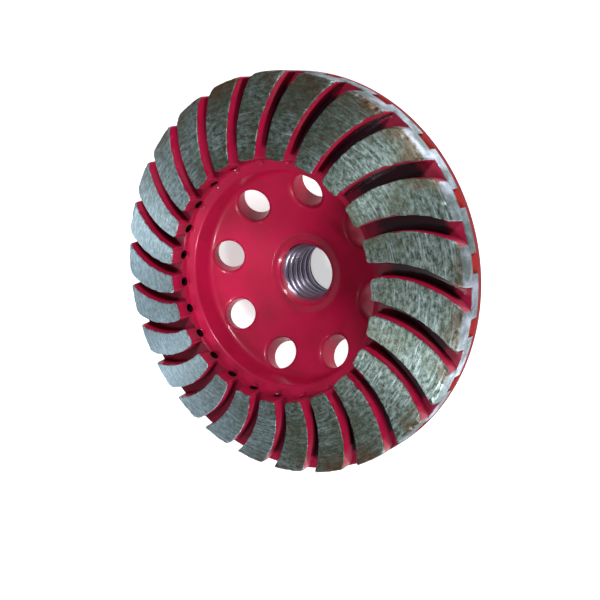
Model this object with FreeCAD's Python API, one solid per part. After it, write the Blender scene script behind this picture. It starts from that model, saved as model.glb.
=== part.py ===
import FreeCAD, Part
import math
import os

# Diamond cup wheel for wet or dry grinding of stone and concrete, at its real size in millimetres.
# It is made of two pieces that a furnace joins for good: a turned steel body, shaped like a bell, and a
# ring of diamond grit and metal powder, sintered on to the body's rim. Curved grooves split the ring's face
# into blades.
# The origin is the centre of the hub's back face, on which the wheel stands, and +Z runs along the spindle
# axis to the working face. Depths are measured down from the working face, as on a turner's drawing.

# Overall sizes
wheel_height = 32.0
rim_radius = 40.0
rim_flare = 0.9
rim_depth = 7.2
rim_edge_round = 0.5

# Abrasive ring
ring_bore_radius = 24.1
seat_depth_at_bore = 3.9
seat_depth_at_rim = 5.6
ring_edge_round = 0.5

# Grooves between the blades: each one follows an arc that leaves the ring's bore along the radius
blade_count = 24
groove_width = 2.4
groove_depth = 3.4
groove_arc_radius = 19.6
blade_corner_radius = 2.2
blade_end_round = 0.8

# Blind holes round the ring's bore, half in the ring and half in the body, one behind each blade
pin_hole_radius = 1.05
pin_hole_depth = 2.6

# Open slots in the outside of the ring's foot, one below each blade
rim_slot_width = 3.2
rim_slot_top_depth = 3.7
rim_slot_cut = 0.9
rim_slot_turn = -9.6

# Cup of the steel body
cup_radius = 22.2
cup_wall = 4.5
shoulder_depth_at_bore = 4.7
shoulder_depth_at_cup = 5.6
shoulder_round = 0.7
cup_fillet = 1.6
cone_slope = 28.0
back_fillet = 2.0
cup_back_round = 4.0

# Hub: a flat land round the bore's mouth inside, and a round boss behind
land_depth = 17.8
land_radius = 9.0
land_round = 1.0
boss_radius = 11.5
boss_edge_round = 0.6
boss_fillet = 1.8

# Spindle thread, M14 x 2: the solid has the bore at the thread's outer diameter, without its ridges
thread_diameter = 14.0
bore_mouth_chamfer = 0.45

# Air holes through the cone, drilled square to it
air_hole_count = 8
air_hole_radius = 3.6
air_hole_circle_radius = 18.2
air_hole_chamfer = 0.45

# How far a cutter runs past what it cuts
overrun = 3.0

# The rim's outside widens by its flare from the working face to the rim's back
face_radius = rim_radius - rim_flare

# Levels above the hub's back face
rim_back_z = wheel_height - rim_depth
land_z = wheel_height - land_depth
bore_radius = thread_diameter / 2
slope = math.radians(cone_slope)


def wall_radius(depth):
    """Radius of the rim's flared outside at a depth below the working face."""
    return face_radius + rim_flare * depth / rim_depth


def cone_z(radius):
    """Height of the cup's conical floor at a radius."""
    return land_z + (radius - land_radius) * math.tan(slope)


def cone_back_z(radius):
    """Height of the cone's back, one wall below the floor and parallel to it."""
    return cone_z(radius) - cup_wall / math.cos(slope)


def polar(radius, degrees, z=0.0):
    """Point at a radius and an angle round the spindle axis."""
    angle = math.radians(degrees)
    return FreeCAD.Vector(radius * math.cos(angle), radius * math.sin(angle), z)


def turned(corners):
    """Revolves a closed outline of (radius, height, rounding) corners about the spindle axis."""
    points = [FreeCAD.Vector(r, 0, z) for r, z, rounding in corners]
    starts = []
    ends = []
    arcs = []
    for i, (r, z, rounding) in enumerate(corners):
        corner = points[i]
        to_last = (points[i - 1] - corner).normalize()
        to_next = (points[(i + 1) % len(points)] - corner).normalize()
        if rounding == 0:
            starts.append(corner)
            ends.append(corner)
            arcs.append(None)
            continue
        half = to_last.getAngle(to_next) / 2
        reach = rounding / math.tan(half)
        middle = (to_last + to_next).normalize()
        centre = corner + middle * (rounding / math.sin(half))
        starts.append(corner + to_last * reach)
        ends.append(corner + to_next * reach)
        arcs.append(centre - middle * rounding)
    edges = []
    for i in range(len(points)):
        if arcs[i] is not None:
            edges.append(Part.Arc(starts[i], arcs[i], ends[i]).toShape())
        edges.append(Part.LineSegment(ends[i], starts[(i + 1) % len(points)]).toShape())
    face = Part.Face(Part.Wire(edges))
    return face.revolve(FreeCAD.Vector(0, 0, 0), FreeCAD.Vector(0, 0, 1), 360)


def repeated(shape, count):
    """Copies of a shape, evenly spaced round the spindle axis."""
    copies = []
    for i in range(count):
        copy = shape.copy()
        copy.rotate(FreeCAD.Vector(0, 0, 0), FreeCAD.Vector(0, 0, 1), 360.0 * i / count)
        copies.append(copy)
    return copies


def crossing(centre, radius, reach):
    """Where a circle about a point meets a circle of radius reach about the spindle axis, on the side that
    a groove runs out to."""
    away = math.hypot(centre.x, centre.y)
    along = (away ** 2 + reach ** 2 - radius ** 2) / (2 * away)
    side = math.sqrt(reach ** 2 - along ** 2)
    towards = FreeCAD.Vector(centre.x / away, centre.y / away, 0)
    across = FreeCAD.Vector(-towards.y, towards.x, 0)
    return towards * along + across * side


def on_arc_between(centre, radius, start, end):
    """Point of an arc about a centre, half way from start to end."""
    middle = ((start - centre).normalize() + (end - centre).normalize()).normalize()
    return centre + middle * radius


def arc(centre, radius, start, end):
    """Edge of the shorter arc about a centre, from start to end."""
    return Part.Arc(start, on_arc_between(centre, radius, start, end), end).toShape()


def line(start, end):
    """Straight edge from start to end."""
    return Part.LineSegment(start, end).toShape()


def out_from(point, start, distance):
    """Point at a distance beyond or short of another one, on the line that runs to it from a start."""
    return point + (point - start).normalize() * distance


def groove_cutter():
    """One groove with the rounded corners of the blades beside it, standing past the working face."""
    axis = FreeCAD.Vector(0, 0, 0)
    pitch = 360.0 / blade_count
    inner = polar(ring_bore_radius, pitch / 2)
    heading = polar(1, pitch / 2)
    centre = inner + FreeCAD.Vector(heading.y, -heading.x, 0) * groove_arc_radius
    long_side = groove_arc_radius + groove_width / 2
    short_side = groove_arc_radius - groove_width / 2
    inside = ring_bore_radius - overrun
    outside = rim_radius + overrun
    long_end = crossing(centre, long_side, outside)

    # A blade's outer corner is an arc inside both the groove's short side and the rim
    floor_wall = wall_radius(groove_depth)
    corner = crossing(centre, short_side - blade_corner_radius, floor_wall - blade_corner_radius)
    corner_start = out_from(corner, centre, blade_corner_radius)
    corner_end = out_from(corner, axis, blade_corner_radius)
    far_corner = out_from(corner, axis, outside - corner.Length)

    # The two inner corners are arcs between a side of the groove and the ring's bore
    long_round = crossing(centre, long_side + blade_end_round, ring_bore_radius + blade_end_round)
    long_start = out_from(long_round, centre, -blade_end_round)
    long_bore = out_from(long_round, axis, -blade_end_round)
    long_inside = out_from(long_round, axis, inside - long_round.Length)
    short_round = crossing(centre, short_side - blade_end_round, ring_bore_radius + blade_end_round)
    short_start = out_from(short_round, centre, blade_end_round)
    short_bore = out_from(short_round, axis, -blade_end_round)
    short_inside = out_from(short_round, axis, inside - short_round.Length)

    edges = [
        arc(long_round, blade_end_round, long_bore, long_start),
        arc(centre, long_side, long_start, long_end),
        line(long_end, far_corner),
        line(far_corner, corner_end),
        arc(corner, blade_corner_radius, corner_end, corner_start),
        arc(centre, short_side, corner_start, short_start),
        arc(short_round, blade_end_round, short_start, short_bore),
        line(short_bore, short_inside),
        line(short_inside, long_inside),
        line(long_inside, long_bore),
    ]
    cutter = Part.Face(Part.Wire(edges)).extrude(FreeCAD.Vector(0, 0, groove_depth + overrun))
    cutter.translate(FreeCAD.Vector(0, 0, wheel_height - groove_depth))
    return cutter


def pin_hole_cutters():
    """Radial blind holes on the joint line of the ring's bore, behind the middle of each blade."""
    start = polar(ring_bore_radius - overrun, 0, wheel_height - seat_depth_at_bore)
    length = overrun + pin_hole_depth
    return repeated(Part.makeCylinder(pin_hole_radius, length, start, FreeCAD.Vector(1, 0, 0)), blade_count)


def rim_slot_cutters():
    """Slots up the outside of the ring's foot. They open on to the body's rim, which runs on whole."""
    slot_floor = wall_radius(rim_slot_top_depth) - rim_slot_cut
    height = rim_depth - rim_slot_top_depth + overrun
    slot = Part.makeBox(rim_radius + overrun - slot_floor, rim_slot_width, height)
    slot.translate(FreeCAD.Vector(slot_floor, -rim_slot_width / 2, rim_back_z - overrun))
    slot.rotate(FreeCAD.Vector(0, 0, 0), FreeCAD.Vector(0, 0, 1), rim_slot_turn)
    return repeated(slot, blade_count)


def air_hole_cutters():
    """Through holes square to the cone, each with a broken edge on the floor's side."""
    at_floor = FreeCAD.Vector(air_hole_circle_radius, 0, cone_z(air_hole_circle_radius))
    outward = FreeCAD.Vector(-math.sin(slope), 0, math.cos(slope))
    at_back = at_floor - outward * cup_wall
    drill = Part.makeCylinder(air_hole_radius, cup_wall + 2 * overrun, at_back - outward * overrun, outward)
    sink = Part.makeCone(air_hole_radius, air_hole_radius + 2 * air_hole_chamfer, 2 * air_hole_chamfer,
                         at_floor - outward * air_hole_chamfer, outward)
    return repeated(drill.fuse(sink), air_hole_count)


def abrasive_ring():
    """The sintered ring: a low foot all round, with the blades standing on it."""
    ring = turned([
        (ring_bore_radius, wheel_height, 0),
        (ring_bore_radius, wheel_height - seat_depth_at_bore, 0),
        (wall_radius(seat_depth_at_rim), wheel_height - seat_depth_at_rim, 0),
        (face_radius, wheel_height, ring_edge_round),
    ])
    cutters = repeated(groove_cutter(), blade_count) + pin_hole_cutters() + rim_slot_cutters()
    return ring.cut(Part.makeCompound(cutters))


def steel_body():
    """The turned body: rim, cup wall, cone, hub land, bore and boss."""
    cup_back_radius = cup_radius + cup_wall
    mouth_radius = bore_radius + bore_mouth_chamfer
    body = turned([
        (wall_radius(seat_depth_at_rim), wheel_height - seat_depth_at_rim, 0),
        (rim_radius, rim_back_z, rim_edge_round),
        (cup_back_radius, rim_back_z, back_fillet),
        (cup_back_radius, cone_back_z(cup_back_radius), cup_back_round),
        (boss_radius, cone_back_z(boss_radius), boss_fillet),
        (boss_radius, 0, boss_edge_round),
        (mouth_radius, 0, 0),
        (bore_radius, bore_mouth_chamfer, 0),
        (bore_radius, land_z - bore_mouth_chamfer, 0),
        (mouth_radius, land_z, 0),
        (land_radius, land_z, land_round),
        (cup_radius, cone_z(cup_radius), cup_fillet),
        (cup_radius, wheel_height - shoulder_depth_at_cup, shoulder_round),
        (ring_bore_radius, wheel_height - shoulder_depth_at_bore, 0),
        (ring_bore_radius, wheel_height - seat_depth_at_bore, 0),
    ])
    cutters = pin_hole_cutters() + air_hole_cutters()
    return body.cut(Part.makeCompound(cutters))


def one_solid(shape, name):
    """The single solid of a finished piece, after checking that it is one."""
    if len(shape.Solids) != 1 or not shape.isValid():
        raise ValueError(name + " is not one sound solid")
    return shape.Solids[0]


os.makedirs("parts", exist_ok=True)
for name, shape in (("steel_body", steel_body()), ("abrasive_ring", abrasive_ring())):
    piece = one_solid(shape, name)
    piece.exportStep("parts/" + name + ".step")
    box = piece.optimalBoundingBox()
    print(name, "volume", round(piece.Volume, 1), "mm3, z", round(box.ZMin, 2), "to", round(box.ZMax, 2),
          "mm, across", round(box.XLength, 2), "mm")
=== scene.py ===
# %% [markdown]
# # A diamond cup wheel
# A cup wheel screws on to an angle grinder and grinds stone or concrete flat. It has two pieces: a turned
# steel body shaped like a bell, and a ring of diamond grit and metal powder that a furnace has joined to the
# body's rim. Red paint covers all of it but the surfaces that have been ground and the thread.
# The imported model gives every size. This lesson makes both pieces again with finer curves and worn edges,
# adds the thread's ridges, and gives each surface its finish.

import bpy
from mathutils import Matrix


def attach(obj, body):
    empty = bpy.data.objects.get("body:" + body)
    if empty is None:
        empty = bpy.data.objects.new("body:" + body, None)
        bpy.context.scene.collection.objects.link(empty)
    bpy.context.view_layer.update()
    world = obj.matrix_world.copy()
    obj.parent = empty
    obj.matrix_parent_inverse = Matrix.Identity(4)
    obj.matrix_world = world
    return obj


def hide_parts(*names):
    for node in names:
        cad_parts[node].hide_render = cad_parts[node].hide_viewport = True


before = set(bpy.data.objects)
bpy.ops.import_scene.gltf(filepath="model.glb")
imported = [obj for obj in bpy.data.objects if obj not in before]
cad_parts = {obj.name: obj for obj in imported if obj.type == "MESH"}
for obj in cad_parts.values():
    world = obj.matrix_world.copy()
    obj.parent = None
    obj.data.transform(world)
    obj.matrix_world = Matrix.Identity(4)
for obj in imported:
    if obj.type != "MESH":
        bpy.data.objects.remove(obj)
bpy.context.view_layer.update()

# %% Tools for the rest of the lesson
import math

import bmesh
import bpy
from mathutils import Matrix, Vector

MM = 0.001
SAME_WITHIN = 1e-6
print("Blender", bpy.app.version_string, "works in metres, so a millimetre is", MM)

# %% [markdown]
# ## Sizes
# All sizes are in millimetres, as on a turner's drawing, and are turned into metres where a mesh is made.
# Depths are measured down from the working face. The wheel stands on its hub, with the face up. The seat is
# where the ring meets the body, and it slopes from the ring's bore down to the rim.

# %% Sizes of the wheel
WHEEL_HEIGHT = 32.0
RIM_RADIUS = 40.0
RIM_FLARE = 0.9
RIM_DEPTH = 7.2
FACE_RADIUS = RIM_RADIUS - RIM_FLARE
RING_BORE_RADIUS = 24.1
SEAT_DEPTH_AT_BORE = 3.9
SEAT_DEPTH_AT_RIM = 5.6
BLADES = 24


def z_at(depth):
    """Height of a point at a depth below the working face."""
    return WHEEL_HEIGHT - depth


def wall_radius(depth):
    """Radius of the rim's flared outside at a depth below the working face."""
    return FACE_RADIUS + RIM_FLARE * depth / RIM_DEPTH


print("the rim's outside widens from", FACE_RADIUS, "to", RIM_RADIUS, "mm")

# %% [markdown]
# ## Turned shapes
# A lathe makes a round piece from one outline, and so do these helpers: they round the outline's corners with
# arcs and sweep it round the spindle axis. Blender's Spin tool does the same by hand, but code closes the seam
# exactly and can be run again with other sizes. Many steps round the axis matter here, because glossy paint
# shows every flat.


# %% A rounded outline
def rotated(arm, angle):
    """A vector in a plane, turned by an angle in radians."""
    c, s = math.cos(angle), math.sin(angle)
    return Vector((arm.x * c - arm.y * s, arm.x * s + arm.y * c))


def turn_between(start, end):
    """Angle in radians that turns one vector in a plane to another, the shorter way."""
    return math.atan2(start.x * end.y - start.y * end.x, start.dot(end))


def rounded_outline(corners, arc_step=9.0):
    """Points of a closed outline of (radius, height, rounding) corners, with an arc at each rounded one."""
    outline = []
    for i, (r, z, rounding) in enumerate(corners):
        corner = Vector((r, z))
        if rounding == 0:
            outline.append(corner)
            continue
        to_last = (Vector(corners[i - 1][:2]) - corner).normalized()
        to_next = (Vector(corners[(i + 1) % len(corners)][:2]) - corner).normalized()
        half = to_last.angle(to_next) / 2
        centre = corner + (to_last + to_next).normalized() * (rounding / math.sin(half))
        start = corner + to_last * (rounding / math.tan(half)) - centre
        end = corner + to_next * (rounding / math.tan(half)) - centre
        turn = turn_between(start, end)
        steps = max(2, math.ceil(abs(math.degrees(turn)) / arc_step))
        outline += [centre + rotated(start, turn * k / steps) for k in range(steps + 1)]
    return outline


print("points on a rounded square corner:", len(rounded_outline([(1, 0, 0.2), (2, 0, 0), (2, 1, 0), (1, 1, 0)])) - 3)


# %% Points, bands of faces and objects
def hoop(bm, radius, height, sides, shift=0.0):
    """Closed ring of points round the Z axis, turned by a share of the step between two of them."""
    angles = [2 * math.pi * (s + shift) / sides for s in range(sides)]
    return [bm.verts.new((radius * math.cos(a), radius * math.sin(a), height)) for a in angles]


def band(bm, low, high):
    """Faces between two closed rings of points."""
    for i in range(len(low)):
        k = (i + 1) % len(low)
        bm.faces.new((low[i], low[k], high[k], high[i]))


def new_object(name, data):
    """Object with a mesh, a lamp or a camera, at the origin of the scene."""
    made = bpy.data.objects.new(name, data)
    bpy.context.scene.collection.objects.link(made)
    return made


def finished(name, bm):
    """Object with the mesh that a bmesh holds."""
    mesh = bpy.data.meshes.new(name)
    bm.to_mesh(mesh)
    bm.free()
    return new_object(name, mesh)


print("helpers for meshes: hoop, band, new_object, finished")


# %% A mesh swept round the spindle axis
TURNED_SIDES = 288


def turned(name, outline, longest=1.2):
    """Closed turned piece from an outline in mm. Long straight runs are divided, to keep the faces short. The
    points stand half a step off the X axis, so that no cutter's own points fall on them."""
    points = []
    for i, start in enumerate(outline):
        end = outline[(i + 1) % len(outline)]
        steps = max(1, math.ceil((end - start).length / longest))
        points += [start.lerp(end, k / steps) for k in range(steps)]
    bm = bmesh.new()
    rings = [hoop(bm, p.x * MM, p.y * MM, TURNED_SIDES, shift=0.5) for p in points]
    for low, high in zip(rings, rings[1:] + rings[:1]):
        band(bm, low, high)
    bmesh.ops.recalc_face_normals(bm, faces=bm.faces)
    return finished(name, bm)


flatness = RIM_RADIUS * (1 - math.cos(math.pi / TURNED_SIDES))
print("with", TURNED_SIDES, "sides the rim is within", round(flatness, 4), "mm of a true circle")

# %% [markdown]
# ## Copies round the axis
# Holes, slots and blades all repeat round the spindle. An Array modifier could turn copies with the help of an
# empty, but each pattern would need an empty of its own. One Geometry Nodes tree serves all of them: it places
# copies of an object at equal angles and makes them real. The result is then turned into a plain mesh.


# %% Nodes and links
def feed(tree, sockets, values):
    """Sets sockets by name. A value may be plain, or another node's output, which is then linked."""
    for key, value in values.items():
        if isinstance(value, bpy.types.NodeSocket):
            tree.links.new(value, sockets[key])
        else:
            sockets[key].default_value = value


def add_node(tree, kind, inputs=None, **settings):
    """Adds a node with its settings and feeds its inputs."""
    made = tree.nodes.new(kind)
    for key, value in settings.items():
        setattr(made, key, value)
    feed(tree, made.inputs, inputs or {})
    return made


def calculate(tree, operation, *values, clamp=False):
    """Output of a Math node."""
    made = add_node(tree, "ShaderNodeMath", dict(enumerate(values)), operation=operation, use_clamp=clamp)
    return made.outputs[0]


def product(tree, first, *others):
    """All the values multiplied."""
    for other in others:
        first = calculate(tree, "MULTIPLY", first, other)
    return first


print("helpers for nodes: feed, add_node, calculate, product")


# %% Ranges, noise and groups
def spread(tree, value, low, high, at_low=0.0, at_high=1.0, **settings):
    """What lies from low to high, spread from at_low to at_high by a Map Range node."""
    made = add_node(tree, "ShaderNodeMapRange", {
        "Value": value, "From Min": low, "From Max": high, "To Min": at_low, "To Max": at_high}, **settings)
    return made.outputs[0]


def noise(tree, vector, scale, detail, roughness=0.5):
    """Cloudy pattern from 0 to 1. Detail adds finer clouds, and roughness makes those stronger."""
    made = add_node(tree, "ShaderNodeTexNoise", {
        "Vector": vector, "Scale": scale, "Detail": detail, "Roughness": roughness})
    return made.outputs["Fac"]


def new_tree(name, kind, inputs, outputs):
    """Node group with inputs and outputs {name: type}: itself, what it is given and where its results go."""
    tree = bpy.data.node_groups.new(name, kind)
    for way, sockets in (("INPUT", inputs), ("OUTPUT", outputs)):
        for key, socket in sockets.items():
            tree.interface.new_socket(key, in_out=way, socket_type="NodeSocket" + socket)
    return tree, tree.nodes.new("NodeGroupInput").outputs, tree.nodes.new("NodeGroupOutput").inputs


def count_nodes(made):
    """Prints how many nodes a tree or a material has."""
    print(made.name, "nodes:", len(getattr(made, "node_tree", made).nodes))


print("helpers for patterns and groups: spread, noise, new_tree, count_nodes")


# %% From a tree to a plain mesh
def made_plain(made):
    """Replaces an object's mesh by its evaluated one and removes the modifiers."""
    bpy.context.view_layer.update()
    graph = bpy.context.evaluated_depsgraph_get()
    mesh = bpy.data.meshes.new_from_object(made.evaluated_get(graph), depsgraph=graph)
    made.modifiers.clear()
    made.data = mesh
    mesh.name = made.name
    return made


def grown(name, tree, inputs):
    """Object with the plain mesh that a Geometry Nodes tree makes. The modifier knows its inputs by identifier,
    so each one's name is looked up."""
    made = new_object(name, bpy.data.meshes.new(name))
    modifier = made.modifiers.new(tree.name, "NODES")
    modifier.node_group = tree
    for item in tree.interface.items_tree:
        if item.in_out == "INPUT":
            modifier[item.identifier] = inputs[item.name]
    return made_plain(made)


print("helpers for meshes from trees: made_plain, grown")


# %% The tree that sets copies round the axis
def ring_of_copies_tree():
    """Copies of an object at equal angles round the Z axis, as real geometry."""
    tree, given, result = new_tree(
        "Ring of copies", "GeometryNodeTree", {"Original": "Object", "Count": "Int"}, {"Geometry": "Geometry"})
    original = add_node(tree, "GeometryNodeObjectInfo", {"Object": given["Original"]})
    points = add_node(tree, "GeometryNodePoints", {"Count": given["Count"]})
    index = add_node(tree, "GeometryNodeInputIndex")
    turn = calculate(tree, "DIVIDE", index.outputs[0], given["Count"])
    angle = product(tree, turn, 2 * math.pi)
    rotation = add_node(tree, "FunctionNodeAxisAngleToRotation", {"Axis": (0, 0, 1), "Angle": angle})
    copies = add_node(tree, "GeometryNodeInstanceOnPoints", {
        "Points": points.outputs[0], "Instance": original.outputs["Geometry"], "Rotation": rotation.outputs[0]})
    real = add_node(tree, "GeometryNodeRealizeInstances", {"Geometry": copies.outputs[0]})
    feed(tree, result, {"Geometry": real.outputs[0]})
    return tree


def ring_of_copies(name, original, count):
    """New object with count copies of another one round the spindle axis. The original is removed."""
    made = grown(name, RING_OF_COPIES, {"Original": original, "Count": count})
    bpy.data.objects.remove(original)
    return made


RING_OF_COPIES = ring_of_copies_tree()
count_nodes(RING_OF_COPIES)

# %% [markdown]
# ## Cutters
# Small radial holes lie on the joint between ring and body, and there is a slot below each blade. They could
# be drawn into the mesh by hand, but a drill and a milling cutter are the real tools. So solid copies of these
# are made here, and taken away from the turned blanks with the Boolean modifier. Each hole's cutter widens at
# its mouth, which leaves the broken edge that catches the light.

# %% A drill as stacked rings
OVERRUN = 3.0


def drill(name, rings, place, sides):
    """Closed round cutter from (radius, height) rings in mm along its own Z axis, moved by a matrix."""
    bm = bmesh.new()
    hoops = [hoop(bm, radius, height, sides) for radius, height in rings]
    for low, high in zip(hoops, hoops[1:]):
        band(bm, low, high)
    bm.faces.new(hoops[0][::-1])
    bm.faces.new(hoops[-1])
    bmesh.ops.recalc_face_normals(bm, faces=bm.faces)
    bm.transform(Matrix.Scale(MM, 4) @ place)
    return finished(name, bm)


print("each cutter runs", OVERRUN, "mm past what it cuts")


# %% Radial holes on the joint
PIN_HOLE_RADIUS = 1.05
PIN_HOLE_DEPTH = 2.6
PIN_HOLE_MOUTH = (0.06, 0.1)
PIN_HOLE_TIP = 0.3


def pin_hole_drill():
    """Blind hole along +X into the ring's bore, with a slightly broken mouth."""
    place = Matrix.Translation((RING_BORE_RADIUS, 0, z_at(SEAT_DEPTH_AT_BORE)))
    wider, mouth_depth = PIN_HOLE_MOUTH
    wide = PIN_HOLE_RADIUS + wider
    rings = [(wide, -OVERRUN), (wide, 0), (PIN_HOLE_RADIUS, mouth_depth),
             (PIN_HOLE_RADIUS, PIN_HOLE_DEPTH - PIN_HOLE_TIP), (PIN_HOLE_RADIUS - PIN_HOLE_TIP, PIN_HOLE_DEPTH)]
    return drill("pin_hole_drill", rings, place @ Matrix.Rotation(math.pi / 2, 4, "Y"), sides=32)


pin_holes = ring_of_copies("pin_holes", pin_hole_drill(), BLADES)
print("radial holes:", BLADES)

# %% Slots in the outside of the ring's foot
RIM_SLOT_WIDTH = 3.2
RIM_SLOT_TOP_DEPTH = 3.7
RIM_SLOT_CUT = 0.9
RIM_SLOT_ROUND = 0.35
RIM_SLOT_TURN = -9.6


def rim_slot_cutter():
    """Upright slot with rounded inner corners. It cuts the ring's foot, down to the seat on the rim."""
    floor = wall_radius(RIM_SLOT_TOP_DEPTH) - RIM_SLOT_CUT
    low = Vector((floor, -RIM_SLOT_WIDTH / 2, z_at(RIM_DEPTH) - OVERRUN))
    high = Vector((RIM_RADIUS + OVERRUN, RIM_SLOT_WIDTH / 2, z_at(RIM_SLOT_TOP_DEPTH)))
    bm = bmesh.new()
    bmesh.ops.create_cube(bm, size=1)
    for v in bm.verts:
        v.co = Vector([low[i] + (high[i] - low[i]) * (v.co[i] + 0.5) for i in range(3)])
    inner = [e for e in bm.edges if all(abs(v.co.x - floor) < SAME_WITHIN for v in e.verts)]
    bmesh.ops.bevel(bm, geom=inner, offset=RIM_SLOT_ROUND, segments=4, profile=0.5, affect="EDGES")
    bm.transform(Matrix.Scale(MM, 4) @ Matrix.Rotation(math.radians(RIM_SLOT_TURN), 4, "Z"))
    return finished("rim_slot_cutter", bm)


rim_slots = ring_of_copies("rim_slots", rim_slot_cutter(), BLADES)
print("rim slots:", BLADES)


# %% Cut one object from another
def cut(made, *cutters):
    """Takes the cutters away from an object and returns it as a plain mesh."""
    for cutter in cutters:
        modifier = made.modifiers.new(cutter.name, "BOOLEAN")
        modifier.operation = "DIFFERENCE"
        modifier.solver = "EXACT"
        modifier.object = cutter
    return made_plain(made)


def smooth(made, degrees=30.0):
    """Smooth shading, with a crease wherever two faces meet at more than an angle."""
    made.data.shade_smooth()
    made.data.set_sharp_from_angle(angle=math.radians(degrees))
    return made


def report(made):
    """Prints the size of a mesh, and how many edges don't lie between two faces. A closed piece has none."""
    bm = bmesh.new()
    bm.from_mesh(made.data)
    loose = sum(1 for e in bm.edges if not e.is_manifold)
    print(made.name, "faces:", len(bm.faces), "loose edges:", loose)
    bm.free()


report(pin_holes)
report(rim_slots)


# %% [markdown]
# ## The steel body
# The body is one turned blank: a rim, a short wall, a cone, a flat land round the thread and a boss that the
# grinder's spindle screws into. The cone has air holes that draw dust away, drilled square to its slope. The
# blank is turned first and drilled afterwards, as in the workshop, so every hole has a true edge.

# %% Outline of the body
CUP_RADIUS = 22.2
CUP_WALL = 4.5
SHOULDER_DEPTH = 5.6
SHOULDER_TOP_DEPTH = 4.7
CONE_SLOPE = math.radians(28.0)
LAND_DEPTH = 17.8
LAND_Z = z_at(LAND_DEPTH)
LAND_RADIUS = 9.0
BOSS_RADIUS = 11.5
THREAD_RADIUS = 7.0
MOUTH_CHAMFER = 0.45


def cone_z(radius):
    """Height of the cup's conical floor at a radius."""
    return LAND_Z + (radius - LAND_RADIUS) * math.tan(CONE_SLOPE)


def cone_back_z(radius):
    """Height of the cone's back at a radius."""
    return cone_z(radius) - CUP_WALL / math.cos(CONE_SLOPE)


BODY_CORNERS = [
    (wall_radius(SEAT_DEPTH_AT_RIM), z_at(SEAT_DEPTH_AT_RIM), 0),
    (RIM_RADIUS, z_at(RIM_DEPTH), 0.5),
    (CUP_RADIUS + CUP_WALL, z_at(RIM_DEPTH), 2.0),
    (CUP_RADIUS + CUP_WALL, cone_back_z(CUP_RADIUS + CUP_WALL), 4.0),
    (BOSS_RADIUS, cone_back_z(BOSS_RADIUS), 1.8),
    (BOSS_RADIUS, 0, 0.6),
    (THREAD_RADIUS + MOUTH_CHAMFER, 0, 0),
    (THREAD_RADIUS, MOUTH_CHAMFER, 0),
    (THREAD_RADIUS, LAND_Z - MOUTH_CHAMFER, 0),
    (THREAD_RADIUS + MOUTH_CHAMFER, LAND_Z, 0.15),
    (LAND_RADIUS, LAND_Z, 1.0),
    (CUP_RADIUS, cone_z(CUP_RADIUS), 1.6),
    (CUP_RADIUS, z_at(SHOULDER_DEPTH), 0.7),
    (RING_BORE_RADIUS, z_at(SHOULDER_TOP_DEPTH), 0),
    (RING_BORE_RADIUS, z_at(SEAT_DEPTH_AT_BORE), 0),
]

body = turned("bell_body", rounded_outline(BODY_CORNERS))
report(body)

# %% Air holes square to the cone
AIR_HOLES = 8
AIR_HOLE_RADIUS = 3.6
AIR_HOLE_CIRCLE_RADIUS = 18.2
AIR_HOLE_MOUTH = [(0, -0.5), (0.06, -0.3), (0.2, -0.12), (0.5, 0.06), (0.9, 0.3), (0.9, OVERRUN)]


def air_hole_drill():
    """Drill along the cone's square direction, wider at the floor's side."""
    place = Matrix.Translation((AIR_HOLE_CIRCLE_RADIUS, 0, cone_z(AIR_HOLE_CIRCLE_RADIUS)))
    rings = [(AIR_HOLE_RADIUS, -CUP_WALL - OVERRUN)]
    rings += [(AIR_HOLE_RADIUS + wider, height) for wider, height in AIR_HOLE_MOUTH]
    return drill("air_hole_drill", rings, place @ Matrix.Rotation(-CONE_SLOPE, 4, "Y"), sides=72)


air_holes = ring_of_copies("air_holes", air_hole_drill(), AIR_HOLES)
smooth(cut(body, air_holes, pin_holes))
report(body)

# %% [markdown]
# ## The thread
# An M14 x 2 thread is a ridge with sloping flanks that climbs 2 mm in each turn. It is too fine for the solid,
# which has a plain bore. The Screw modifier winds such a ridge too, but leaves its ends open. Here it is a grid
# of points: one direction runs along the ridge's section and the other round the bore, and each step round
# also climbs. The countersink at both mouths cuts it off, and a plain wall outside closes it.

# %% The thread's section
THREAD_PITCH = 2.0
THREAD_CREST_RADIUS = 5.92
THREAD_ROOT_RADIUS = THREAD_RADIUS - 0.02
THREAD_SOFTNESS = 0.01
THREAD_LENGTH = LAND_Z - 2 * MOUTH_CHAMFER


def thread_radius(phase):
    """Radius of a 60 degree thread's section at a phase from 0 to 1, with its corners a little rounded."""
    from_crest = abs(phase - 0.5) * THREAD_PITCH
    slope = (from_crest - THREAD_PITCH / 8) / math.tan(math.radians(30))
    rounded = 0.5 * (slope + math.sqrt(slope * slope + THREAD_SOFTNESS))
    return min(THREAD_CREST_RADIUS + rounded, THREAD_ROOT_RADIUS)


print("thread radius", THREAD_CREST_RADIUS, "to", THREAD_ROOT_RADIUS, "mm, length", round(THREAD_LENGTH, 1), "mm")

# %% The threaded sleeve of the bore
THREAD_SIDES = 144
THREAD_STEPS = 16
MERGED_WITHIN = 0.001


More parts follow.
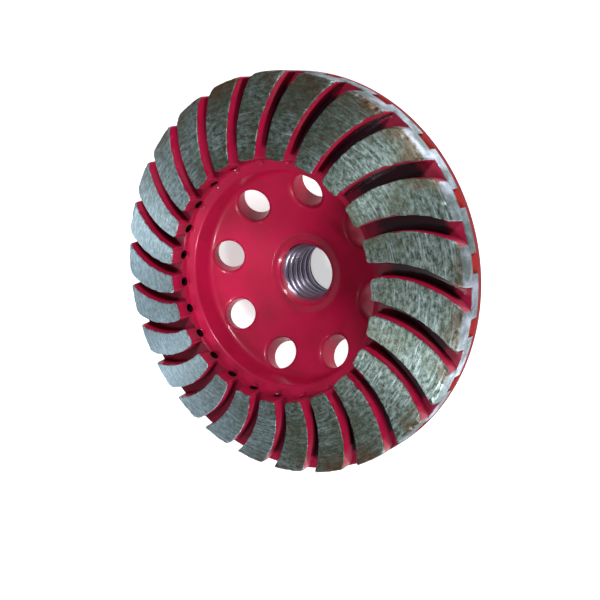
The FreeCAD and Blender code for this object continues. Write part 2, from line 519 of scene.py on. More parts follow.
def threaded_sleeve(name):
    """Closed sleeve with the thread inside, as long as the bore's straight part."""
    low, high = MOUTH_CHAMFER, MOUTH_CHAMFER + THREAD_LENGTH
    turns = math.ceil(THREAD_LENGTH / THREAD_PITCH) + 1
    bm = bmesh.new()
    grid = []
    for step in range(-THREAD_STEPS, turns * THREAD_STEPS + 1):
        row = step / THREAD_STEPS
        line = []
        for s in range(THREAD_SIDES + 1):
            z = low + THREAD_PITCH * (row + s / THREAD_SIDES)
            inside = min(max(z, low), high)
            countersink = max(THREAD_RADIUS - (high - inside), THREAD_RADIUS - (inside - low))
            radius = min(max(thread_radius(row % 1.0), countersink), THREAD_ROOT_RADIUS)
            angle = 2 * math.pi * s / THREAD_SIDES
            line.append(bm.verts.new((radius * math.cos(angle), radius * math.sin(angle), inside)))
        grid.append(line)
    for line, above in zip(grid, grid[1:]):
        for s in range(THREAD_SIDES):
            bm.faces.new((line[s], above[s], above[s + 1], line[s + 1]))
    bmesh.ops.remove_doubles(bm, verts=bm.verts, dist=MERGED_WITHIN)
    bmesh.ops.dissolve_degenerate(bm, edges=bm.edges, dist=MERGED_WITHIN)
    band(bm, *[hoop(bm, THREAD_RADIUS, height, THREAD_SIDES) for height in (low, high)])
    edges = [e for e in bm.edges if len(e.link_faces) == 1]
    for height in (low, high):
        mouth = [e for e in edges if all(abs(v.co.z - height) < SAME_WITHIN for v in e.verts)]
        bmesh.ops.bridge_loops(bm, edges=mouth)
    bmesh.ops.recalc_face_normals(bm, faces=bm.faces)
    bm.transform(Matrix.Scale(MM, 4))
    return finished(name, bm)


thread = smooth(threaded_sleeve("spindle_thread"), degrees=40)
report(thread)

# %% [markdown]
# ## The abrasive ring
# The ring is pressed in one piece: a low foot all round, and blades that stand on it. The grooves could be
# cut from a turned ring, but then their edges couldn't be worn one by one. So the foot is turned, with the
# radial holes and rim slots cut from it, and a blade is built by itself. A blade's sides are arcs, because each
# groove follows one arc that leaves the bore along the radius. One of its outer corners is well rounded.

# %% The foot
GROOVE_DEPTH = 3.4
FOOT_CORNERS = [
    (RING_BORE_RADIUS, z_at(GROOVE_DEPTH), 0.12),
    (RING_BORE_RADIUS, z_at(SEAT_DEPTH_AT_BORE), 0),
    (wall_radius(SEAT_DEPTH_AT_RIM), z_at(SEAT_DEPTH_AT_RIM), 0),
    (wall_radius(GROOVE_DEPTH), z_at(GROOVE_DEPTH), 0.25),
]
foot = turned("ring_foot", rounded_outline(FOOT_CORNERS, arc_step=18.0), longest=0.8)
smooth(cut(foot, pin_holes, rim_slots))
report(foot)

# %% Where a groove runs
GROOVE_WIDTH = 2.4
GROOVE_ARC_RADIUS = 19.6
HALF_PITCH = 180.0 / BLADES
SPINDLE = Vector((0, 0))


def polar(radius, degrees):
    """Point in the plane of the face at a radius and an angle."""
    return Vector((radius * math.cos(math.radians(degrees)), radius * math.sin(math.radians(degrees))))


def groove_centre(number):
    """Centre of the arc that a groove follows. Groove 0 lies on the left of blade 0, and groove -1 on its right."""
    start = HALF_PITCH + 2 * HALF_PITCH * number
    return polar(RING_BORE_RADIUS, start) + polar(GROOVE_ARC_RADIUS, start - 90)


print("groove 0 turns about", [round(c, 2) for c in groove_centre(0)], "mm")


# %% Arcs that meet and touch
def crossing(centre, radius, reach):
    """Where a circle about a point meets the circle of radius reach about the spindle, on the groove's side."""
    away = centre.length
    along = (away ** 2 + reach ** 2 - radius ** 2) / (2 * away)
    towards = centre / away
    return towards * along + Vector((-towards.y, towards.x)) * math.sqrt(reach ** 2 - along ** 2)


def touch(centre, radius, corner):
    """Where the arc about a corner's centre touches a circle of a radius about another centre."""
    return centre + (corner - centre).normalized() * radius


def arc_points(centre, start, end, steps):
    """Points from start to just before end, along the shorter arc about a centre."""
    turn = turn_between(start - centre, end - centre)
    return [centre + rotated(start - centre, turn * k / steps) for k in range(steps)]


meeting = crossing(groove_centre(0), GROOVE_ARC_RADIUS, FACE_RADIUS)
print("groove 0 reaches the rim at", [round(c, 2) for c in meeting], "mm")


# %% A blade's outline
BLADE_CORNER_RADIUS = 2.2
BLADE_END_ROUND = 0.8
BLADE_TIP_ROUND = 0.25


def blade_outline(wall, side=0.0, end=0.0):
    """Outline of blade 0 with its outer end on a wall radius, as (point, worn) pairs. It is drawn in by side
    along the grooves and the bore, and by end at the wall. Worn is 1 at the wall and 0 elsewhere."""
    left, right = groove_centre(0), groove_centre(-1)
    inside = GROOVE_ARC_RADIUS - GROOVE_WIDTH / 2 - side
    outside = GROOVE_ARC_RADIUS + GROOVE_WIDTH / 2 + side
    bore, rim = RING_BORE_RADIUS + side, wall - end
    tip, small, large = BLADE_TIP_ROUND, BLADE_END_ROUND - side, BLADE_CORNER_RADIUS - end
    bore_right = crossing(right, outside + small, bore + small)
    rim_right = crossing(right, outside + tip, rim - tip)
    rim_left = crossing(left, inside - large, rim - large)
    bore_left = crossing(left, inside - small, bore + small)
    # The arcs in turn: centre, first point, worn or not, number of steps
    arcs = [
        (bore_right, touch(SPINDLE, bore, bore_right), 0, 6),
        (right, touch(right, outside, bore_right), 0, 44),
        (rim_right, touch(right, outside, rim_right), 1, 5),
        (SPINDLE, touch(SPINDLE, rim, rim_right), 1, 22),
        (rim_left, touch(SPINDLE, rim, rim_left), 1, 10),
        (left, touch(left, inside, rim_left), 0, 42),
        (bore_left, touch(left, inside, bore_left), 0, 6),
        (SPINDLE, touch(SPINDLE, bore, bore_left), 0, 10),
    ]
    outline = []
    for (centre, start, worn, steps), (_, stop, _, _) in zip(arcs, arcs[1:] + arcs[:1]):
        outline += [(p, worn) for p in arc_points(centre, start, stop, steps)]
    return outline


print("points round a blade:", len(blade_outline(FACE_RADIUS)))

# %% The blade's mesh
WEAR_AT_WALL = 0.75
WEAR_AT_GROOVE = 0.2
WEAR_DROP = 0.7
BLADE_ROOT = 0.25
SIDE_DEPTHS = (GROOVE_DEPTH, 2.9, 2.3, 1.7, 1.1)


def blended(values, reach):
    """Values round a closed outline, each one averaged with its neighbours."""
    n = len(values)
    return [sum(values[(i + k) % n] for k in range(-reach, reach + 1)) / (2 * reach + 1) for i in range(n)]


def blade():
    """Blade 0 as a closed mesh: a root inside the foot, upright sides, a rounded top edge that is more worn at
    the wall, and a flat top."""
    worn = blended([w for _, w in blade_outline(FACE_RADIUS)], 2)
    bm = bmesh.new()

    def row(depth, drawn_in=0.0, dropped=0.0):
        """Points round the blade. The top edge's rows are drawn in and drop by shares of its wear."""
        outline = blade_outline(wall_radius(depth), WEAR_AT_GROOVE * drawn_in, WEAR_AT_WALL * drawn_in)
        points = []
        for (p, _), w in zip(outline, worn):
            drop = WEAR_DROP * dropped * (WEAR_AT_GROOVE + (WEAR_AT_WALL - WEAR_AT_GROOVE) * w)
            points.append(bm.verts.new((p.x, p.y, z_at(depth) - drop)))
        return points

    rows = [row(GROOVE_DEPTH + BLADE_ROOT, drawn_in=0.2)]
    rows += [row(depth) for depth in SIDE_DEPTHS]
    for angle in range(0, 91, 15):
        rows.append(row(0, 1 - math.cos(math.radians(angle)), 1 - math.sin(math.radians(angle))))
    rows.append(row(0, drawn_in=1.2))
    for low, high in zip(rows, rows[1:]):
        band(bm, low, high)
    caps = [bm.faces.new(rows[0][::-1]), bm.faces.new(rows[-1])]
    bm.normal_update()
    bmesh.ops.triangulate(bm, faces=caps, ngon_method="EAR_CLIP")
    bmesh.ops.recalc_face_normals(bm, faces=bm.faces)
    bm.transform(Matrix.Scale(MM, 4))
    return finished("blade", bm)


one_blade = cut(blade(), pin_holes)
report(one_blade)

# %% [markdown]
# ## Wear on the blades
# Stone breaks grit and crumbs out of the blades' top edges, and no two blades lose the same ones. Sculpting
# each blade by hand would be slow and couldn't be changed later. The ring's tree copies the blade round the
# axis first, and then pushes points near the top edge inwards by a noise over their places, so every blade gets
# its own chips. The flat tops stay flat.

# %% The ring's tree
FLAT_WITHIN = 0.004
CHIPS_FROM, CHIPS_TO = 0.42, 0.75


def worn_ring_tree():
    """Blades round a foot, with chipped top edges and a material."""
    tree, given, result = new_tree(
        "Worn ring", "GeometryNodeTree",
        {"Foot": "Object", "Blade": "Object", "Count": "Int", "Top": "Float", "Reach": "Float",
         "Chip depth": "Float", "Chip scale": "Float", "Material": "Material"},
        {"Geometry": "Geometry"})
    copies = add_node(tree, "GeometryNodeGroup", {"Original": given["Blade"], "Count": given["Count"]},
                      node_tree=RING_OF_COPIES)
    place = add_node(tree, "GeometryNodeInputPosition").outputs[0]
    height = add_node(tree, "ShaderNodeSeparateXYZ", {0: place}).outputs["Z"]
    below_top = calculate(tree, "SUBTRACT", given["Top"], height)
    near = calculate(tree, "SUBTRACT", 1.0, calculate(tree, "DIVIDE", below_top, given["Reach"]), clamp=True)
    not_flat = calculate(tree, "GREATER_THAN", below_top, FLAT_WITHIN * MM)
    chips = noise(tree, place, given["Chip scale"], detail=3.0, roughness=0.65)
    push = product(tree, near, not_flat, spread(tree, chips, CHIPS_FROM, CHIPS_TO), given["Chip depth"], -1.0)
    normal = add_node(tree, "GeometryNodeInputNormal").outputs[0]
    offset = add_node(tree, "ShaderNodeVectorMath", {0: normal, "Scale": push}, operation="SCALE").outputs[0]
    chipped = add_node(tree, "GeometryNodeSetPosition", {"Geometry": copies.outputs[0], "Offset": offset})
    foot_info = add_node(tree, "GeometryNodeObjectInfo", {"Object": given["Foot"]})
    join = add_node(tree, "GeometryNodeJoinGeometry")
    tree.links.new(foot_info.outputs["Geometry"], join.inputs[0])
    tree.links.new(chipped.outputs[0], join.inputs[0])
    real = add_node(tree, "GeometryNodeRealizeInstances", {"Geometry": join.outputs[0]})
    coated = add_node(tree, "GeometryNodeSetMaterial", {"Geometry": real.outputs[0], "Material": given["Material"]})
    feed(tree, result, {"Geometry": coated.outputs[0]})
    return tree


WORN_RING = worn_ring_tree()
count_nodes(WORN_RING)

# %% [markdown]
# ## Finishes
# Three finishes share the wheel. Crimson enamel covers what isn't ground: it is smooth, glossy and a little
# uneven, like all sprayed paint. The ring's face and outside are ground metal, and the thread is bare steel.
# Photographs as textures would need the meshes unwrapped, and blur close up, so every finish is made of noise
# patterns. All of them need to know where a point lies on the wheel, so a shared node group turns its
# coordinates into a radius, an angle and a depth. The ragged edge of the paint and the enamel itself are
# shared groups too.


# %% Helpers for shader nodes
def mix_values(tree, factor, a, b):
    """Output of a Mix node between two numbers."""
    return add_node(tree, "ShaderNodeMix", {"Factor": factor, "A": a, "B": b}).outputs["Result"]


def mix_colours(tree, factor, a, b):
    """Output of a Mix node between two colours."""
    return add_node(tree, "ShaderNodeMix", {"Factor": factor, "A": a, "B": b}, data_type="RGBA").outputs["Result"]


def fill_group(tree, group, inputs):
    """Outputs of a node group that is given its inputs."""
    return add_node(tree, "ShaderNodeGroup", inputs, node_tree=group).outputs


print("helpers for finishes: mix_values, mix_colours, fill_group")


# %% The group for the place on the wheel
def place_group():
    """Radius, angle and depth below the working face, in mm and degrees, of a point of the wheel."""
    tree, given, result = new_tree(
        "Place on the wheel", "ShaderNodeTree", {"Coordinates": "Vector"},
        {"Place": "Vector", "Radius": "Float", "Angle": "Float", "Depth": "Float"})
    place = add_node(tree, "ShaderNodeVectorMath", {0: given["Coordinates"], "Scale": 1 / MM}, operation="SCALE")
    axes = add_node(tree, "ShaderNodeSeparateXYZ", {0: place.outputs[0]}).outputs
    flat = add_node(tree, "ShaderNodeVectorMath", {0: place.outputs[0], 1: (1, 1, 0)}, operation="MULTIPLY")
    radius = add_node(tree, "ShaderNodeVectorMath", {0: flat.outputs[0]}, operation="LENGTH")
    angle = calculate(tree, "ARCTAN2", axes["Y"], axes["X"])
    feed(tree, result, {"Place": place.outputs[0], "Radius": radius.outputs["Value"],
                        "Angle": calculate(tree, "DEGREES", angle),
                        "Depth": calculate(tree, "SUBTRACT", WHEEL_HEIGHT, axes["Z"])})
    return tree


PLACE = place_group()
count_nodes(PLACE)


# %% The group for a ragged edge
def ragged_edge_group():
    """Mask that goes from 0 to 1 where a distance in mm passes zero, along a ragged line."""
    tree, given, result = new_tree(
        "Ragged edge", "ShaderNodeTree",
        {"Distance": "Float", "Place": "Vector", "Raggedness": "Float", "Softness": "Float", "Scale": "Float"},
        {"Mask": "Float"})
    bumps = noise(tree, given["Place"], given["Scale"], detail=4.0, roughness=0.6)
    shift = product(tree, calculate(tree, "SUBTRACT", bumps, 0.5), given["Raggedness"])
    line = calculate(tree, "ADD", given["Distance"], shift)
    soft = product(tree, given["Softness"], -1.0)
    mask = spread(tree, line, soft, given["Softness"], interpolation_type="SMOOTHSTEP")
    feed(tree, result, {"Mask": mask})
    return tree


def ragged(tree, place, distance, raggedness, softness, scale):
    """Mask with a ragged edge where a distance in mm passes zero."""
    return fill_group(tree, RAGGED_EDGE, {"Distance": distance, "Place": place["Place"], "Raggedness": raggedness,
                                          "Softness": softness, "Scale": scale})["Mask"]


RAGGED_EDGE = ragged_edge_group()
count_nodes(RAGGED_EDGE)

# %% The group for sprayed enamel
CRIMSON = (0.38, 0.0055, 0.046, 1)
THIN_CRIMSON = (0.30, 0.005, 0.032, 1)
ENAMEL_ROUGHNESS = (0.38, 0.5)
SKIN_HEIGHT = 0.01
SPECK_SHARE = 0.12
THIN_CLOUDS = (0.35, 0.7)


def enamel_group():
    """Sprayed enamel: its colour, its roughness and the height of its skin in mm."""
    tree, given, result = new_tree(
        "Crimson enamel", "ShaderNodeTree",
        {"Place": "Vector", "Colour": "Color", "Thin colour": "Color", "Skin": "Float"},
        {"Colour": "Color", "Roughness": "Float", "Height": "Float"})
    cloud = noise(tree, given["Place"], scale=0.16, detail=3.0)
    thin = spread(tree, cloud, *THIN_CLOUDS)
    skin = noise(tree, given["Place"], scale=0.9, detail=2.0, roughness=0.4)
    specks = noise(tree, given["Place"], scale=6.0, detail=1.0)
    speck_height = product(tree, given["Skin"], SPECK_SHARE)
    height = calculate(tree, "MULTIPLY_ADD", specks, speck_height, product(tree, skin, given["Skin"]))
    feed(tree, result, {"Colour": mix_colours(tree, thin, given["Colour"], given["Thin colour"]),
                        "Roughness": spread(tree, cloud, 0.0, 1.0, *ENAMEL_ROUGHNESS), "Height": height})
    return tree


ENAMEL = enamel_group()
count_nodes(ENAMEL)

# %% What all materials need
ENAMEL_SPECULAR = 0.2
ENAMEL_COAT = 0.2
ENAMEL_COAT_ROUGHNESS = 0.12


def new_material(name):
    """Material: itself, its tree, its shader, the outputs for the place of a point and those for the enamel."""
    material = bpy.data.materials.new(name)
    material.use_nodes = True
    tree = material.node_tree
    coordinates = add_node(tree, "ShaderNodeTexCoord").outputs["Object"]
    place = fill_group(tree, PLACE, {"Coordinates": coordinates})
    enamel = fill_group(tree, ENAMEL, {
        "Place": place["Place"], "Colour": CRIMSON, "Thin colour": THIN_CRIMSON, "Skin": SKIN_HEIGHT})
    return material, tree, tree.nodes["Principled BSDF"], place, enamel


def coat_with_gloss(tree, shader, dull):
    """The enamel's clear gloss, but none where the mask dull is 1. What is the same all over is set on the
    shader's own sockets, because the export reads it there."""
    feed(tree, shader.inputs, {"Coat Weight": mix_values(tree, dull, ENAMEL_COAT, 0.0),
                               "Coat Roughness": ENAMEL_COAT_ROUGHNESS, "Specular IOR Level": ENAMEL_SPECULAR})


def bump(tree, shader, height):
    """Raises the surface by a height in mm."""
    made = add_node(tree, "ShaderNodeBump", {"Height": height, "Distance": MM, "Strength": 1.0})
    feed(tree, shader.inputs, {"Normal": made.outputs[0]})


print("helpers for materials: new_material, coat_with_gloss, bump")


# %% [markdown]
# ## Enamel on the steel
# The body is enamel all over. Three places differ: painted shade makes it nearly black inside the radial
# holes, it is fresher in the slots of the ring's foot, which show the seat, and it is rubbed dull on the outside
# of the rim. They could have materials of their own, but masks by radius and depth need no faces picked out
# by hand.

# %% The body's finish
SLOT_PAINT = (0.31, 0.026, 0.024, 1)
RIM_PAINT = (0.19, 0.012, 0.018, 1)
# Painted shade: the colour given to the insides of the radial holes.
PAINTED_HOLE_SHADE = (0.018, 0.003, 0.005, 1)
RIM_ROUGHNESS = 0.85
HOLE_FROM, HOLE_TO, HOLE_TO_DEPTH = RING_BORE_RADIUS + 0.3, RING_BORE_RADIUS + 3.2, 5.2
SLOT_FROM, SLOT_TO_DEPTH = 38.2, SEAT_DEPTH_AT_RIM + 0.05
RIM_FROM = wall_radius(SEAT_DEPTH_AT_RIM) - 0.02


def enamelled_steel():
    """Crimson enamel over the body, with painted shade in its radial holes and other paint in its slots and on its
    rim.
    """
    material, tree, shader, place, enamel = new_material("enamelled_steel")
    radius, depth = place["Radius"], place["Depth"]
    # Painted shade: the enamel is coloured nearly black inside the radial holes, where shade falls.
    painted_hole_shade_mask = product(tree, calculate(tree, "GREATER_THAN", radius, HOLE_FROM),
                      calculate(tree, "LESS_THAN", radius, HOLE_TO),
                      calculate(tree, "LESS_THAN", depth, HOLE_TO_DEPTH))
    in_slot = product(tree, calculate(tree, "GREATER_THAN", radius, SLOT_FROM),
                      calculate(tree, "LESS_THAN", depth, SLOT_TO_DEPTH))
    on_rim = calculate(tree, "GREATER_THAN", radius, RIM_FROM)
    colour = mix_colours(tree, in_slot, enamel["Colour"], SLOT_PAINT)
    colour = mix_colours(tree, on_rim, colour, RIM_PAINT)
    colour = mix_colours(tree, painted_hole_shade_mask, colour, PAINTED_HOLE_SHADE)
    feed(tree, shader.inputs, {"Base Color": colour,
                               "Roughness": mix_values(tree, on_rim, enamel["Roughness"], RIM_ROUGHNESS)})
    coat_with_gloss(tree, shader, dull=on_rim)
    bump(tree, shader, enamel["Height"])
    return material


ENAMELLED_STEEL = enamelled_steel()
count_nodes(ENAMELLED_STEEL)

# %% [markdown]
# ## The ring's finish
# The ring's face and outside have been ground bare, and enamel is left in its grooves, slots and holes. The
# metal is full of grit, and scratched round the spindle. A painted highlight makes one side of the face paler
# and bluer. The rest has greenish stains, flecks of paint and rust near the outside, and the grooves are
# darkened, partly by dust and partly by painted shade. One material does it all with masks, because these run
# into each other along ragged edges. Each function below makes one mask or colour, and the last one puts them
# together.


# %% Where the enamel has gone
EDGE_WIDENS = (-1.4, -0.3)
OUTSIDE_WITHIN = 0.12


def bare_masks(tree, place):
    """Masks of the bare metal: on the face with its worn edges, and on the outside."""
    wall = calculate(tree, "MULTIPLY_ADD", place["Depth"], RIM_FLARE / RIM_DEPTH, FACE_RADIUS)
    from_wall = calculate(tree, "SUBTRACT", place["Radius"], wall)
    worn = mix_values(tree, spread(tree, from_wall, *EDGE_WIDENS), WEAR_AT_GROOVE, WEAR_AT_WALL)
    above_edge = calculate(tree, "SUBTRACT", worn, place["Depth"])
    on_face = ragged(tree, place, above_edge, raggedness=0.35, softness=0.05, scale=1.6)
    at_outside = calculate(tree, "ADD", from_wall, OUTSIDE_WITHIN)
    return on_face, ragged(tree, place, at_outside, raggedness=0.3, softness=0.08, scale=1.1)


print("the enamel has gone", WEAR_AT_GROOVE, "to", WEAR_AT_WALL, "mm down from the face")


# %% Grit and scratches
GRIT = {"across": 1.5, "along": 0.42, "detail": 5.0, "roughness": 0.75}
SCRATCHES = {"across": 2.6, "along": 0.09, "detail": 4.0, "roughness": 0.65}


def drawn_out(tree, place, across, along, **settings):
    """Noise over the radius and the angle, which draws it out round the spindle."""
    vector = add_node(tree, "ShaderNodeCombineXYZ", {
        0: product(tree, place["Radius"], across), 1: product(tree, place["Angle"], along)}).outputs[0]
    return noise(tree, vector, scale=1.0, **settings)


for name, pattern in (("grit", GRIT), ("scratches", SCRATCHES)):
    print(name, "patterns per mm across:", pattern["across"], "and per degree along:", pattern["along"])


# %% Colours of the metal
DARK_METAL = (0.058, 0.078, 0.056, 1)
PALE_METAL = (0.33, 0.43, 0.42, 1)
BRIGHT_METAL = (0.64, 0.80, 0.88, 1)
# Painted highlight: the paler blue that one side of the face is coloured.
PAINTED_HIGHLIGHT_BLUE = (0.56, 0.78, 1.0, 1)
STAIN = (0.085, 0.108, 0.068, 1)
LEFT_PAINT = (0.20, 0.020, 0.040, 1)
RUST = (0.15, 0.065, 0.03, 1)
DULL_WALL = (0.13, 0.18, 0.19, 1)
WORN_WALL = (0.48, 0.54, 0.66, 1)
SCRATCHED, PAINTED_HIGHLIGHT_SHARE, STAINED, RUSTED = 0.7, 0.34, 0.7, 0.85
STREAKS, CLOUDS, FLECKS, PATCHES = (0.54, 0.72), (0.38, 0.62), (0.56, 0.66), (0.43, 0.64)
RUST_RADII = (35.5, 38.6)
# Direction and reach of the side that is coloured with the painted highlight.
PAINTED_HIGHLIGHT_SIDE = (-0.88, -0.47, 0.0)
PAINTED_HIGHLIGHT_REACH = 34.0


def painted_highlight_mask(tree, place):
    """Mask of a painted highlight, which grows towards one side of the wheel and makes it paler and bluer."""
    across = add_node(tree, "ShaderNodeVectorMath", {0: place["Place"], 1: PAINTED_HIGHLIGHT_SIDE}, operation="DOT_PRODUCT")
    return spread(tree, across.outputs["Value"], 0.0, PAINTED_HIGHLIGHT_REACH)


def face_colour(tree, place, tone, scratch, pale):
    """Colour of the face: grit and scratches, paler and bluer on one side with a painted highlight, and stained,
    flecked and rusty elsewhere.
    """
    metal = mix_colours(tree, tone, DARK_METAL, PALE_METAL)
    streaks = spread(tree, scratch, *STREAKS)
    metal = mix_colours(tree, product(tree, streaks, SCRATCHED), metal, BRIGHT_METAL)
    metal = mix_colours(tree, product(tree, pale, PAINTED_HIGHLIGHT_SHARE), metal, PAINTED_HIGHLIGHT_BLUE)
    cloud = noise(tree, place["Place"], scale=0.11, detail=2.0)
    # Stains, kept off the side with the painted highlight.
    stains_off_highlight_side = product(tree, spread(tree, cloud, *CLOUDS, STAINED, 0.0), calculate(tree, "SUBTRACT", 1.0, pale))
    metal = mix_colours(tree, stains_off_highlight_side, metal, STAIN)
    flecks = spread(tree, noise(tree, place["Place"], scale=1.4, detail=3.0, roughness=0.7), *FLECKS)
    metal = mix_colours(tree, product(tree, flecks, stains_off_highlight_side), metal, LEFT_PAINT)
    near_wall = spread(tree, place["Radius"], *RUST_RADII)
    return mix_colours(tree, product(tree, near_wall, stains_off_highlight_side, RUSTED), metal, RUST)


def outside_colour(tree, place):
    """Colour of the outside: dull, with paler worn patches."""
    patches = noise(tree, place["Place"], scale=0.24, detail=5.0, roughness=0.6)
    return mix_colours(tree, spread(tree, patches, *PATCHES), DULL_WALL, WORN_WALL)


print("the paler side lies at", round(math.degrees(math.atan2(PAINTED_HIGHLIGHT_SIDE[1], PAINTED_HIGHLIGHT_SIDE[0]))), "degrees")


# %% Dust and painted shade in the grooves
# Dust and painted shade: the grooves are coloured darker, most on their floors and more with depth.
DUST_AND_SHADE = (0.008, 0.005, 0.012, 1)
DUST_AND_SHADE_FROM, DUST_AND_SHADE_TO = 26.0, 37.2
FADE_AT_BORE, FADE_AT_RIM = 0.16, 0.4
DUST_AND_SHADE_UP_WALL = 0.5
THICK_DUST_AND_SHADE, THICK_DUST_AND_SHADE_ON_HIGHLIGHT_SIDE, THIN_DUST_AND_SHADE = 0.95, 0.45, 0.4
THIN_DUST_AND_SHADE_DEPTHS = (1.0, GROOVE_DEPTH - 0.2)


def dust_and_shade_mask(tree, place, pale):
    """Mask of dust and painted shade: thick on the grooves' floors, fading towards their ends, thin up their walls,
    and thinner on the painted highlight's side.
    """
    from_bore = product(tree, calculate(tree, "SUBTRACT", place["Radius"], DUST_AND_SHADE_FROM), FADE_AT_BORE)
    from_rim = product(tree, calculate(tree, "SUBTRACT", DUST_AND_SHADE_TO, place["Radius"]), FADE_AT_RIM)
    from_end = calculate(tree, "MINIMUM", from_bore, from_rim)
    low = calculate(tree, "SUBTRACT", place["Depth"], GROOVE_DEPTH - DUST_AND_SHADE_UP_WALL)
    on_floor = ragged(tree, place, calculate(tree, "MINIMUM", low, from_end), raggedness=0.4, softness=0.3, scale=0.7)
    thick = product(tree, on_floor, mix_values(tree, pale, THICK_DUST_AND_SHADE, THICK_DUST_AND_SHADE_ON_HIGHLIGHT_SIDE))
    thin = spread(tree, place["Depth"], *THIN_DUST_AND_SHADE_DEPTHS, 0.0, THIN_DUST_AND_SHADE)
    in_groove = calculate(tree, "LESS_THAN", place["Depth"], GROOVE_DEPTH + 0.1)
    return product(tree, calculate(tree, "MAXIMUM", thick, thin), in_groove)


# The thick dust printed here is dust and painted shade together.
print("thick dust from radius", DUST_AND_SHADE_FROM, "to", DUST_AND_SHADE_TO, "mm")


# %% The ring's material
GRIT_TONES = (0.4, 0.68)
OUTSIDE_SHARE = 0.8
METAL_SHARE = 0.9
METAL_ROUGHNESS = (0.56, 0.44)
BRUSHING, BRUSHING_TURN = 0.9, 0.25
GRIT_HEIGHT = 0.1
SCRATCH_HEIGHT = 0.05


def ring_finish():
    """Ground sintered metal on the face and the outside, enamel in the grooves, slots and holes."""
    material, tree, shader, place, enamel = new_material("sintered_ring")
    on_face, on_wall = bare_masks(tree, place)
    bare = calculate(tree, "MAXIMUM", on_face, on_wall)
    crumbs, scratch = drawn_out(tree, place, **GRIT), drawn_out(tree, place, **SCRATCHES)
    # Painted highlight: a mask that colours one side of the face paler and bluer.
    pale = painted_highlight_mask(tree, place)
    tone = spread(tree, crumbs, *GRIT_TONES)
    metal = face_colour(tree, place, tone, scratch, pale)
    metal = mix_colours(tree, product(tree, on_wall, OUTSIDE_SHARE), metal, outside_colour(tree, place))
    # The grooves are darkened partly by dust and partly by painted shade where they are deep.
    painted = mix_colours(tree, dust_and_shade_mask(tree, place, pale), enamel["Colour"], DUST_AND_SHADE)
    rough_metal = mix_values(tree, tone, *METAL_ROUGHNESS)
    feed(tree, shader.inputs, {"Base Color": mix_colours(tree, bare, painted, metal),
                               "Metallic": product(tree, bare, METAL_SHARE),
                               "Roughness": mix_values(tree, bare, enamel["Roughness"], rough_metal),
                               "Anisotropic": BRUSHING, "Anisotropic Rotation": BRUSHING_TURN})
    coat_with_gloss(tree, shader, dull=bare)
    rough_skin = calculate(tree, "MULTIPLY_ADD", scratch, SCRATCH_HEIGHT, product(tree, crumbs, GRIT_HEIGHT))
    bump(tree, shader, mix_values(tree, bare, enamel["Height"], rough_skin))
    return material


RING_FINISH = ring_finish()
count_nodes(RING_FINISH)

# %% [markdown]
# ## Bare steel in the thread
# The bore is kept free of paint, so the thread is bare cut steel, with painted shade that darkens its valleys.
# Only the first turns from the cup have caught some enamel. A pattern wound like the thread could tell valleys
# from crests, but the radius does it better, because it follows the ridge wherever it winds.

# %% The thread's finish
THREAD_STEEL = (0.28, 0.27, 0.38, 1)
PALE_THREAD_STEEL = (0.58, 0.52, 0.66, 1)
# Painted shade for the thread's valleys.
THREAD_VALLEY_SHADE = (0.035, 0.028, 0.05, 1)
THREAD_ROUGHNESS = 0.3
PAINTED_TO_DEPTH = LAND_DEPTH + 1.1
VALLEY_RADII = (THREAD_CREST_RADIUS + 0.1, THREAD_RADIUS - 0.3)


def bare_thread():
    """Cut steel, darkened by painted shade in the thread's valleys, with a little enamel on the first turns from the
    cup.
    """
    material, tree, shader, place, enamel = new_material("bare_thread")
    above = calculate(tree, "SUBTRACT", PAINTED_TO_DEPTH, place["Depth"])
    painted = ragged(tree, place, above, raggedness=1.2, softness=0.2, scale=0.8)
    streaks = noise(tree, place["Place"], scale=1.5, detail=3.0)
    steel = mix_colours(tree, streaks, THREAD_STEEL, PALE_THREAD_STEEL)
    # Painted shade: the valleys are coloured nearly black.
    steel = mix_colours(tree, spread(tree, place["Radius"], *VALLEY_RADII), steel, THREAD_VALLEY_SHADE)
    feed(tree, shader.inputs, {"Base Color": mix_colours(tree, painted, steel, enamel["Colour"]),
                               "Metallic": calculate(tree, "SUBTRACT", 1.0, painted),
                               "Roughness": mix_values(tree, painted, THREAD_ROUGHNESS, enamel["Roughness"])})
    bump(tree, shader, product(tree, streaks, SKIN_HEIGHT))
    return material


BARE_THREAD = bare_thread()
count_nodes(BARE_THREAD)

# %% [markdown]
# ## The ring in one piece
# The tree joins the foot and the 24 blades, chips their edges and gives them the finish. Each blade's root
# reaches a little into the foot, so nothing shows between them. The cutters have done their work and go.

# %% Put the ring together
CHIP_REACH = 0.9
CHIP_DEPTH = 0.3
CHIP_SCALE = 650.0

ring = grown("diamond_ring", WORN_RING, {
    "Foot": foot, "Blade": one_blade, "Count": BLADES, "Top": WHEEL_HEIGHT * MM, "Reach": CHIP_REACH * MM,
    "Chip depth": CHIP_DEPTH * MM, "Chip scale": CHIP_SCALE, "Material": RING_FINISH})
smooth(ring, degrees=38)
for used in (foot, one_blade, pin_holes, rim_slots, air_holes):
    bpy.data.objects.remove(used)
report(ring)

# %% [markdown]
# ## Each piece in the frame
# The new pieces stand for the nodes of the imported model, so those are hidden, and the new ones ride on the
# wheel's one rigid body. The thread stands for nothing: it is extra.

# %% Ride on the wheel
for piece, material, finish in ((body, ENAMELLED_STEEL, "painted_steel"), (ring, RING_FINISH, "diamond_segment"),
                                (thread, BARE_THREAD, "painted_steel")):
    piece.data.materials.clear()
    piece.data.materials.append(material)
    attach(piece, "root")
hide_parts("steel_body")
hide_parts("abrasive_ring")
print("pieces:", [o.name for o in (body, ring, thread)])

# %% [markdown]
# ## Floor and sky
# The wheel stands on a plain pale floor. The world is white where the camera sees it, and the floor glows a
# little there, so the background is white while the light on the wheel stays plain. In reflections the world
# is dimmer, because a white one would wash the red paint out. Stronger lamps would whiten the floor as well,
# but they would bleach the paint.

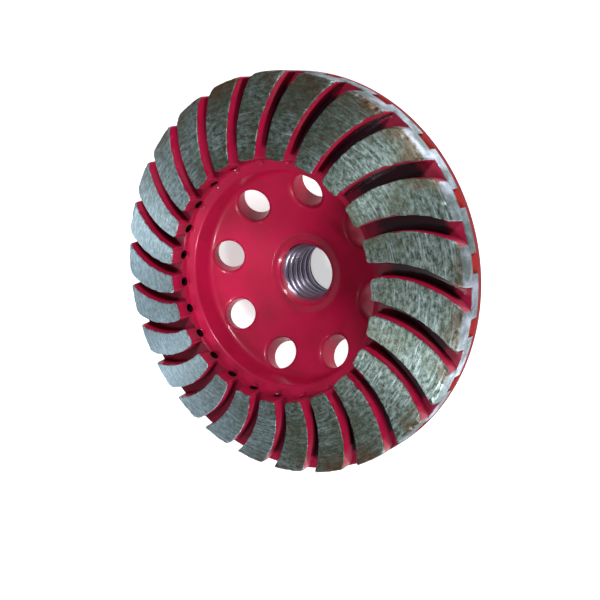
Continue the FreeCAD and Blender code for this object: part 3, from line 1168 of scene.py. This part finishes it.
# %% Floor
FLOOR_RADIUS = 700
FLOOR_COLOUR = (0.86, 0.86, 0.86, 1)
FLOOR_ROUGHNESS = 0.9
FLOOR_GLOW = 0.55
WHITE = (1, 1, 1, 1)


def any_ray(tree, *kinds):
    """1 for light rays of any of the kinds, such as those from the camera."""
    seen = add_node(tree, "ShaderNodeLightPath").outputs
    found = seen[kinds[0]]
    for kind in kinds[1:]:
        found = calculate(tree, "MAXIMUM", found, seen[kind])
    return found


def studio_floor():
    """Large pale floor under the wheel that keeps its shadow but looks nearly white."""
    bm = bmesh.new()
    bmesh.ops.create_circle(bm, cap_ends=True, radius=FLOOR_RADIUS * MM, segments=64)
    floor = finished("studio_floor", bm)
    material = bpy.data.materials.new("pale_floor")
    material.use_nodes = True
    tree = material.node_tree
    direct = any_ray(tree, "Is Camera Ray", "Is Glossy Ray", "Is Transmission Ray")
    feed(tree, tree.nodes["Principled BSDF"].inputs, {
        "Base Color": FLOOR_COLOUR, "Roughness": FLOOR_ROUGHNESS, "Emission Color": WHITE,
        "Emission Strength": product(tree, direct, FLOOR_GLOW)})
    floor.data.materials.append(material)
    return floor


print("floor:", studio_floor().name, "of", 2 * FLOOR_RADIUS, "mm across")

# %% Sky
SKY_LIGHT = 0.08
SKY_REFLECTED = 0.22


def white_sky():
    """White sky: faint as light, brighter in reflections, and white where it is seen."""
    world = bpy.data.worlds.new("studio_sky")
    bpy.context.scene.world = world
    world.use_nodes = True
    tree = world.node_tree
    light = mix_values(tree, any_ray(tree, "Is Glossy Ray"), SKY_LIGHT, SKY_REFLECTED)
    direct = any_ray(tree, "Is Camera Ray", "Is Transmission Ray")
    feed(tree, tree.nodes["Background"].inputs, {"Color": WHITE, "Strength": mix_values(tree, direct, light, 1.0)})
    return world


print("sky:", white_sky().name)

# %% [markdown]
# ## Lamps and camera
# Three soft square lamps light the wheel, as in a small photo studio: a key lamp, one from the side, and a weak
# one from behind that shows in the metal. The camera looks down on the wheel from near by, rolled to its side.

# %% Lamps
LAMP_AIM = (0, 0, 20)
LAMPS = {
    "key_lamp": {"place": (190, 465, 385), "size": 120, "power": 3.2},
    "side_lamp": {"place": (445, -280, 350), "size": 90, "power": 3.6},
    "back_lamp": {"place": (-105, -185, 605), "size": 70, "power": 0.9},
}


def turned_to(made, place, aim, roll=0.0):
    """Puts a lamp or camera at a place, looking at an aim, both in mm, and rolls it by an angle in degrees."""
    look = (Vector(aim) - Vector(place)).to_track_quat("-Z", "Y").to_matrix()
    made.location = Vector(place) * MM
    made.rotation_euler = (look @ Matrix.Rotation(math.radians(roll), 3, "Z")).to_euler()
    return made


def lamp(name, place, size, power):
    """Square soft lamp of a size in mm and a power in watts."""
    data = bpy.data.lights.new(name, "AREA")
    data.shape = "SQUARE"
    data.size = size * MM
    data.energy = power
    return turned_to(new_object(name, data), place, LAMP_AIM)


for name, values in LAMPS.items():
    lamp(name, **values)
    print(name, "at", values["place"], "mm")

# %% Camera
CAMERA_PLACE = (55.7, 30.2, 111.0)
CAMERA_AIM = (-2.2, -6.8, 32.0)
CAMERA_ROLL = -108.6
CAMERA_LENS = 30.6
CAMERA_SHIFT = (0.093, 0.025)


def camera():
    """Camera at the photograph's viewing angle. The shift moves the wheel to its place in the frame."""
    data = bpy.data.cameras.new("camera")
    data.sensor_width = 36
    data.lens = CAMERA_LENS
    data.shift_x, data.shift_y = CAMERA_SHIFT
    data.clip_start = 5 * MM
    return turned_to(new_object("camera", data), CAMERA_PLACE, CAMERA_AIM, CAMERA_ROLL)


bpy.context.scene.camera = camera()
bpy.context.scene.view_settings.view_transform = "Standard"
print("camera:", [round(c, 4) for c in bpy.context.scene.camera.location])
